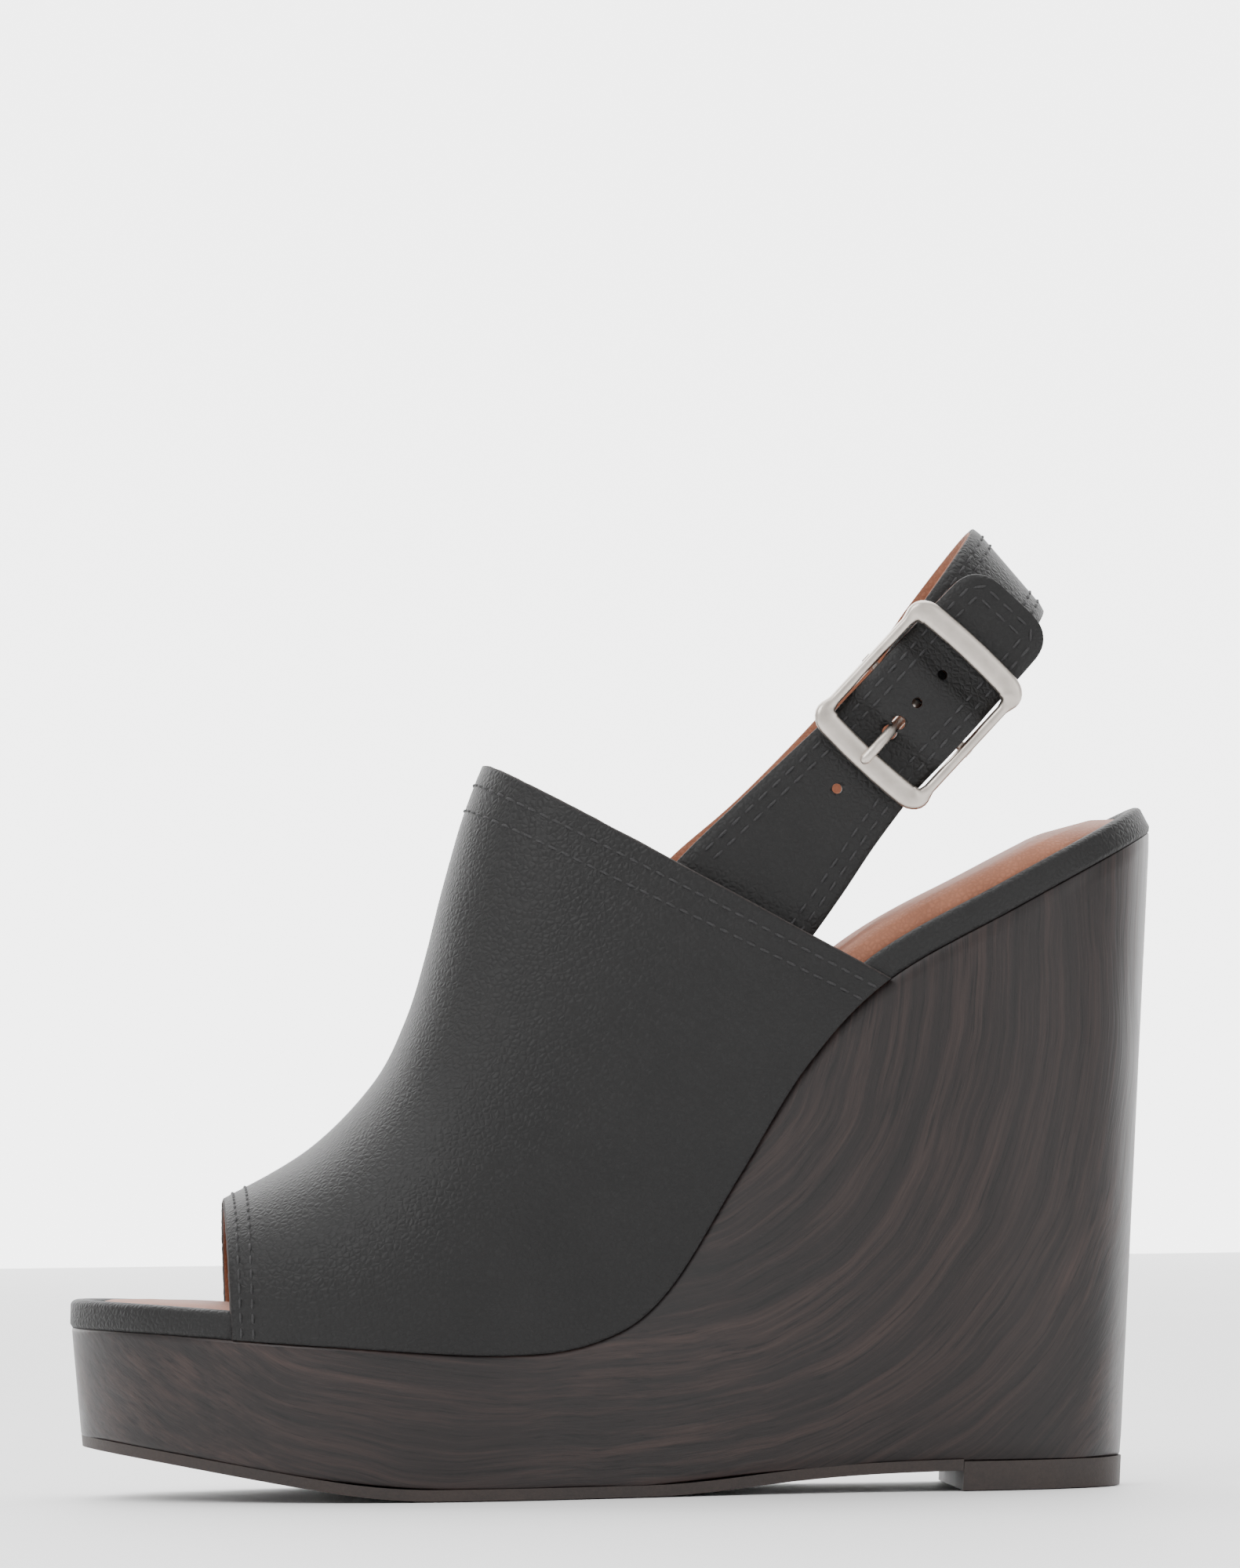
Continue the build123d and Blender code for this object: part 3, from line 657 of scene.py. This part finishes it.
def sock():
    """Padded leather sock: crowned, tucked down inside the rand all round."""
    rings = []
    steps = 150
    for share, drop in [(1.0, 1), (0.985, 0.55), (0.95, 0.18), (0.88, 0.02)] + [
            (k / 10, 0) for k in range(8, 0, -1)] + [(0.02, 0)]:
        ring = []
        for t in outline_steps(steps):
            edge = on_seam(t, 0, 2.55)
            x = edge.x * share + (1 - share) * -5.0
            y = edge.y * share
            heel = min(1.0, max(0.0, (x + 5) / 45))
            crown = 1.2 + 0.9 * heel * (1 - share**2)
            end = min(1.0, max(0.0, (104 - x) / 16))
            lift = (pad_top(x) - 4.9) * (0.35 + 0.65 * end) + 4.9 + crown
            lift = lift * (1 - drop) + 3.2 * drop
            z = height_on(SEAM, x)
            slope = (height_on(SEAM, x + 1) - height_on(SEAM, x - 1)) / 2
            size = math.hypot(1, slope)
            lift += 0.25 * noise.noise(Vector((x, y, 0)) * 0.06)
            ring.append((x - slope / size * lift, y, z + lift / size))
        rings.append(ring)
    base = [on_seam(t, 2.6, 2.7) for t in outline_steps(steps)]
    verts, faces = skin_rings([base] + rings)
    piece = make_object("padded_sock", verts, faces, TAN)
    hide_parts("sock_lining", "heel_pad", "footbed_foam")
    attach(piece, "root")


# ---------------------------------------------------------------- straps
def ribbon(name, stations, low, high, material, edge_material, holes=(), steps=6):
    """Flat strap: stations are (centre, width direction, half width, outward direction)."""
    rows = []
    for i in range((len(stations) - 1) * steps + 1):
        t = i / steps
        centre = Vector(smooth([tuple(s[0]) for s in stations], t))
        across = Vector(smooth([tuple(s[1]) for s in stations], t)).normalized()
        half = smooth([s[2] for s in stations], t)
        out = Vector(smooth([tuple(s[3]) for s in stations], t)).normalized()
        rows.append((centre, across, half, out))
    rings = []
    soft = min(0.35, (high - low) * 0.35)
    cross = 14
    for centre, across, half, out in rows:
        ring = []
        for k in range(cross + 1):
            u = -1 + 2 * k / cross
            inset = soft if abs(u) == 1 else 0
            ring.append(centre + across * (u * half) + out * (high - inset))
        ring.append(centre + across * (half + 0.18) + out * (high + low) / 2)
        for k in range(cross, -1, -1):
            u = -1 + 2 * k / cross
            inset = soft if abs(u) == 1 else 0
            ring.append(centre + across * (u * half) + out * (low + inset))
        ring.append(centre - across * (half + 0.18) + out * (high + low) / 2)
        rings.append(ring)
    verts, faces = skin_rings(rings)
    piece = make_object(name, verts, faces, material)
    for centre, radius, axis, length in holes:
        cutter = bpy.data.meshes.new("punch")
        bm = bmesh.new()
        bmesh.ops.create_cone(bm, cap_ends=True, segments=28, radius1=radius * MM,
                              radius2=radius * MM, depth=length * MM)
        turn = Vector((0, 0, 1)).rotation_difference(axis).to_matrix().to_4x4()
        bmesh.ops.transform(bm, matrix=Matrix.Translation(Vector(centre) * MM) @ turn, verts=bm.verts)
        bm.to_mesh(cutter)
        bm.free()
        tool = bpy.data.objects.new("punch", cutter)
        bpy.context.scene.collection.objects.link(tool)
        mod = piece.modifiers.new("punch", "BOOLEAN")
        mod.operation = "DIFFERENCE"
        mod.object = tool
        mod.solver = "EXACT"
        apply_modifiers(piece)
        bpy.data.objects.remove(tool)
    return piece


def strap_spot(s, t, h):
    """Point in the buckle's frame: s along the front strap, t across it, h outward."""
    return BAR + ALONG * s + ACROSS * t + OUT * h


def billet_stations():
    """Front strap, from its sewn end inside the vamp to the blunt tip."""
    swing_s = (SWING - BAR).dot(ALONG)
    swing_t = (SWING - BAR).dot(ACROSS)
    rows = [(swing_s - 34, swing_t, 12.8, -3.0), (swing_s - 22, swing_t, 13.8, -1.6),
            (swing_s - 10, swing_t, 14.5, -0.4), (swing_s, swing_t, 14.5, 0),
            (swing_s + 12, swing_t * 0.7, 13.4, 0), (-26, -0.2, 12.1, 0), (-15, 0, 11.1, 0)]
    rise = 3.6
    for s in (-12.5, -10.5, -8.0, -5.5, -3.0, 0, 3.0, 5.5, 8.0, 10.5, 12.5):
        share = min(1.0, max(0.0, (10.5 - abs(s)) / 7.5))
        rows.append((s, 0, 10.9, rise * share * share * (3 - 2 * share)))
    rows += [(16, 0, 10.75, 0), (20.6, 0, 10.65, 0), (23.4, 0, 10.45, 0), (25.6, 0, 9.6, 0),
             (27.2, 0, 8.0, 0), (28.0, 0, 6.2, 0), (28.2, 0, 4.6, 0)]
    stations = []
    for i, (s, t, half, h) in enumerate(rows):
        before = rows[max(0, i - 1)]
        after = rows[min(len(rows) - 1, i + 1)]
        slope = (after[3] - before[3]) / (after[0] - before[0])
        out = (OUT - ALONG * slope).normalized()
        stations.append((strap_spot(s, t, h), ACROSS, half, out))
    return stations


def across_swing(piece):
    """Bake a piece's placement into its mesh."""
    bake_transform(piece)


def edge_rows(stations, inset, height, first, last, steps=8):
    """Stitch line along both edges of a strap at a distance from its edge."""
    sides = []
    for sign in (-1, 1):
        line = []
        for i in range(first * steps, last * steps + 1):
            t = i / steps
            centre = Vector(smooth([tuple(s[0]) for s in stations], t))
            across = Vector(smooth([tuple(s[1]) for s in stations], t)).normalized()
            half = smooth([s[2] for s in stations], t)
            out = Vector(smooth([tuple(s[3]) for s in stations], t)).normalized()
            line.append((centre + across * sign * (half - inset) + out * height, out))
        sides.append(line)
    return sides


def front_strap():
    stations = billet_stations()
    holes = [(strap_spot(s, 0.5, 0), 1.0, OUT, 14) for s in (-22.5, -15.0, 0, 7.5)]
    holes.append((strap_spot(-7.6, 0.5, 0), 1.45, OUT, 14))
    holes.append((strap_spot(-5.2, 0.5, 0), 1.35, OUT, 14))
    top = ribbon("front_strap_leather", stations, -0.5, 0.8, BLACK, EDGE, holes)
    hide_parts("front_strap", "outer_strap_root")
    lining = ribbon("front_strap_back", stations, -1.2, -0.52, TAN, EDGE, holes)
    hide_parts("front_strap_lining")
    last = len(stations) - 1
    pieces = [(top, "black_leather"), (lining, "tan_leather")]
    for number, inset in STITCH_INSETS:
        sides = edge_rows(stations, inset, 0.8, 3, last - 4)
        joined = sides[0]
        tip = [(strap_spot(28.2 - inset, sideways, 0.8), OUT) for sideways in (
            -7.6 + inset * 0.6, -4, 0, 4, 7.6 - inset * 0.6)]
        line = joined + tip + sides[1][::-1]
        row = stitch_row(f"front_strap_stitch_{number}", line, THREAD, STRAP_PITCH, STRAP_STITCH)
        pieces.append((row, "black_leather"))
    for piece, slot in pieces:
        across_swing(piece)


def heel_stations():
    """Heel strap from its sewn end on the inner side, round the heel, to the buckle bar."""
    inner_y, outer_y = 23.9, -21.5
    middle = (inner_y + outer_y) / 2
    radius = (inner_y - outer_y) / 2
    side_up = Vector((math.cos(math.radians(49)), 0, math.sin(math.radians(49))))
    across_side = Vector((-side_up.z, 0, side_up.x))
    across_back = Vector((-math.sin(math.radians(40)), 0, math.cos(math.radians(40))))
    rear = Vector((78.9, 0, 179.4))
    flat = Vector((math.cos(math.radians(40)), 0, math.sin(math.radians(40))))
    lead = Vector((math.cos(math.radians(53.5)), 0, math.sin(math.radians(53.5))))
    stations = []
    for s, y, half in ((-34, 26.6, 12.8), (-22, 25.2, 13.8), (-10, 24.2, 14.4), (0, inner_y, 14.5),
                       (14, inner_y, 12.9), (28, inner_y, 11.6), (42, inner_y, 10.9)):
        centre = Vector((SWING.x, 0, SWING.z)) + ALONG * min(s, 14) + side_up * max(0, s - 14)
        stations.append((centre + Vector((0, y, 0)), across_side, half, Vector((0, 1, 0))))
    for degrees in range(0, 181, 15):
        angle = math.radians(90 - degrees)
        out = (flat * math.cos(angle) + Vector((0, math.sin(angle), 0))).normalized()
        centre = rear - lead * (radius * (1 - math.cos(angle)) / lead.dot(flat))
        centre += Vector((0, middle + radius * math.sin(angle), 0))
        back = math.cos(angle)
        across = (across_side * (1 - back) + across_back * back).normalized()
        stations.append((centre, across, 10.6, out))
    for s, h in ((7.6, -2.6), (4.6, -1.3)):
        spot = strap_spot(s, 0.12 * s, 0)
        stations.append((Vector((spot.x, BAR.y - h, spot.z)), ACROSS, 10.7, OUT))
    for degrees in (60, 10, -40, -90, -140):
        angle = math.radians(degrees)
        direction = ALONG * math.cos(angle + 0.35) + OUT * math.sin(angle + 0.35)
        centre = BAR + direction * 1.75
        stations.append((centre, ACROSS, 10.7, direction))
    return stations


def heel_strap():
    stations = heel_stations()
    turn = len(stations) - 7
    top = ribbon("heel_strap_leather", stations, -0.3, 0.9, BLACK, EDGE)
    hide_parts("heel_strap", "inner_strap_root")
    lining = ribbon("heel_strap_back", stations[:turn + 2], -1.0, -0.32, TAN, EDGE)
    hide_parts("heel_strap_lining")
    pieces = [(top, "black_leather"), (lining, "tan_leather")]
    for number, inset in STITCH_INSETS:
        for side, line in enumerate(edge_rows(stations, inset, 0.9, 3, turn)):
            row = stitch_row(f"heel_strap_stitch_{number}_{side}", line, THREAD, STRAP_PITCH,
                             STRAP_STITCH)
            pieces.append((row, "black_leather"))
    for piece, slot in pieces:
        across_swing(piece)


# ---------------------------------------------------------------- buckle
def buckle():
    """Cast frame: slim flat rails, broad crowned ends that bow outward."""
    length, half = 14.3, 12.6
    loop = []
    corner = 2.6
    for quadrant, (cs, ct) in enumerate(((1, 1), (-1, 1), (-1, -1), (1, -1))):
        for k in range(9):
            angle = math.radians(90 * quadrant + 90 * k / 8)
            s = cs * (length - corner) + corner * math.cos(angle)
            t = ct * (half - corner) + corner * math.sin(angle)
            loop.append((s, t))
    dense = []
    for i, (s, t) in enumerate(loop):
        ns, nt = loop[(i + 1) % len(loop)]
        count = max(1, int(math.hypot(ns - s, nt - t) / 1.2))
        dense += [(s + (ns - s) * k / count, t + (nt - t) * k / count) for k in range(count)]
    rings = []
    n = len(dense)
    for i, (s, t) in enumerate(dense):
        a, b = dense[i - 1], dense[(i + 1) % n]
        size = math.hypot(b[0] - a[0], b[1] - a[1])
        ns, nt = (b[1] - a[1]) / size, -(b[0] - a[0]) / size
        end = min(1.0, max(0.0, (abs(s) - 10.6) / 3.2))
        end = end * end * (3 - 2 * end)
        bow = 0.55 * end * (1 - (t / half) ** 2)
        wide = 1.05 + end * (1.15 + 0.1)
        low = -0.9 + end * 2.6
        high = 3.4 + end * 0.7
        centre_s = s + math.copysign(bow, s)
        ring = []
        for k in range(20):
            angle = 2 * math.pi * k / 20
            across = math.copysign(abs(math.cos(angle)) ** 0.55, math.cos(angle)) * wide
            up = math.copysign(abs(math.sin(angle)) ** (0.6 + 0.25 * end), math.sin(angle))
            h = (low + high) / 2 + up * (high - low) / 2
            ring.append(strap_spot(centre_s + ns * across, t + nt * across, h))
        rings.append(ring)
    verts, faces = skin_rings(rings + [rings[0]], cap=False)
    piece = make_object("buckle_frame_cast", verts, faces, NICKEL)
    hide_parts("buckle_frame")
    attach(piece, "buckle")


def tongue():
    """Pin: a flattened wire curled round the bar and laid over the front end of the frame."""
    route = [(1.6 * math.cos(math.radians(d)), 1.6 * math.sin(math.radians(d)))
             for d in (200, 250, 300, 350, 40)]
    route += [(-0.6, 1.45), (-3.0, 1.0), (-5.4, 1.25), (-7.6, 2.7), (-9.6, 4.0), (-11.6, 4.85),
              (-13.4, 5.05), (-15.2, 4.95), (-15.9, 4.75)]
    rings = []
    steps = 5
    total = (len(route) - 1) * steps
    for i in range(total + 1):
        t = i / steps
        s, h = smooth(route, t)
        ahead = smooth(route, min(len(route) - 1, t + 0.05))
        behind = smooth(route, max(0, t - 0.05))
        ds, dh = ahead[0] - behind[0], ahead[1] - behind[1]
        size = math.hypot(ds, dh)
        nx, ny = -dh / size, ds / size
        taper = min(1.0, 0.35 + (total - i) / 9)
        ring = []
        for k in range(14):
            angle = 2 * math.pi * k / 14
            sideways = 1.05 * taper * math.cos(angle)
            thick = (0.5 if i < 5 * steps else 0.8) * taper * math.sin(angle)
            ring.append(strap_spot(s + nx * thick, 0.5 + sideways, h + ny * thick))
        rings.append(ring)
    verts, faces = skin_rings(rings)
    piece = make_object("tongue_pin", verts, faces, NICKEL)
    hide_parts("buckle_tongue")
    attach(piece, "tongue")


# ---------------------------------------------------------------- carried-over parts
def finish_cad():
    finishes = {
        "outsole": RUBBER, "top_lift": RUBBER, "top_lift_nails": STEEL, "insole_board": BOARD,
        "steel_shank": STEEL, "shank_rivets": STEEL, "wedge_screws": STEEL, "buckle_bar": NICKEL,
    }
    for node, material in finishes.items():
        obj = frame["nodes"][node]
        for slot in obj.material_slots:
            slot.link = "OBJECT"
            slot.material = material


# ---------------------------------------------------------------- stage
def stage():
    bpy.ops.mesh.primitive_plane_add(size=6, location=(0, 0, -0.0002))
    floor = bpy.context.object
    floor.name = "studio_floor"
    material, tree, shader = new_material("pale_floor")
    soft = noise_tex(tree, coords(tree), 3.0, 2.0)
    tree.links.new(ramp(tree, soft, [(0.3, (0.87, 0.87, 0.87)), (0.7, (0.89, 0.89, 0.89))]),
                   shader.inputs["Base Color"])
    shader.inputs["Roughness"].default_value = 0.6
    floor.data.materials.append(material)
    bpy.ops.mesh.primitive_plane_add(size=8, location=(0, 2.6, 1), rotation=(math.pi / 2, 0, 0))
    backdrop = bpy.context.object
    backdrop.name = "studio_backdrop"
    glow, tree, shader = new_material("white_backdrop")
    even = noise_tex(tree, coords(tree), 0.5, 1.0)
    tree.links.new(ramp(tree, even, [(0.3, (1, 1, 1)), (0.7, (0.97, 0.97, 0.97))]),
                   shader.inputs["Emission Color"])
    shader.inputs["Emission Strength"].default_value = 3.6
    backdrop.data.materials.append(glow)
    world = bpy.data.worlds.new("studio")
    bpy.context.scene.world = world
    world.use_nodes = True
    background = world.node_tree.nodes["Background"]
    background.inputs[0].default_value = (1, 1, 1, 1)
    background.inputs[1].default_value = 0.95
    for name, place, size, power in (
            ("key", (-0.75, -0.75, 0.95), 0.7, 10.0), ("fill", (0.8, -1.0, 0.5), 0.8, 3.0),
            ("top", (0.05, 0.1, 1.2), 0.9, 8.0)):
        light = bpy.data.lights.new(name, "AREA")
        light.size = size
        light.energy = power
        lamp = bpy.data.objects.new(name, light)
        lamp.location = place
        towards = Vector((0, 0, 0.08)) - Vector(place)
        lamp.rotation_euler = towards.to_track_quat("-Z", "Y").to_euler()
        bpy.context.scene.collection.objects.link(lamp)


def camera():
    """Level long-lens side view, a touch towards the toe and tilted a fraction."""
    data = bpy.data.cameras.new("camera")
    cam = bpy.data.objects.new("camera", data)
    bpy.context.scene.collection.objects.link(cam)
    distance = 1.8
    frame_height = 0.3077
    azimuth = math.radians(-3.4)
    aim = Vector((0.0022, 0.0, 0.1383))
    cam.location = (aim.x + distance * math.sin(azimuth), -distance * math.cos(azimuth), 0.076)
    look = (aim - cam.location).to_track_quat("-Z", "Y")
    cam.rotation_euler = (look.to_matrix() @ Matrix.Rotation(math.radians(-0.7), 3, "Z")).to_euler()
    data.sensor_fit = "VERTICAL"
    data.angle = 2 * math.atan(frame_height / 2 / distance)
    bpy.context.scene.camera = cam


wedge()
TOE_EDGE = VAMP[0][0] - 0.2
rand("toe_binding", "toe_rand", find_plan(TOE_EDGE, 33, 7, 10), find_plan(TOE_EDGE, 33, 13, 15))
rand("heel_binding", "heel_rand", 19.55 - len(PLAN), 3.28)
vamp()
sock()
front_strap()
heel_strap()
buckle()
tongue()
finish_cad()
stage()
camera()
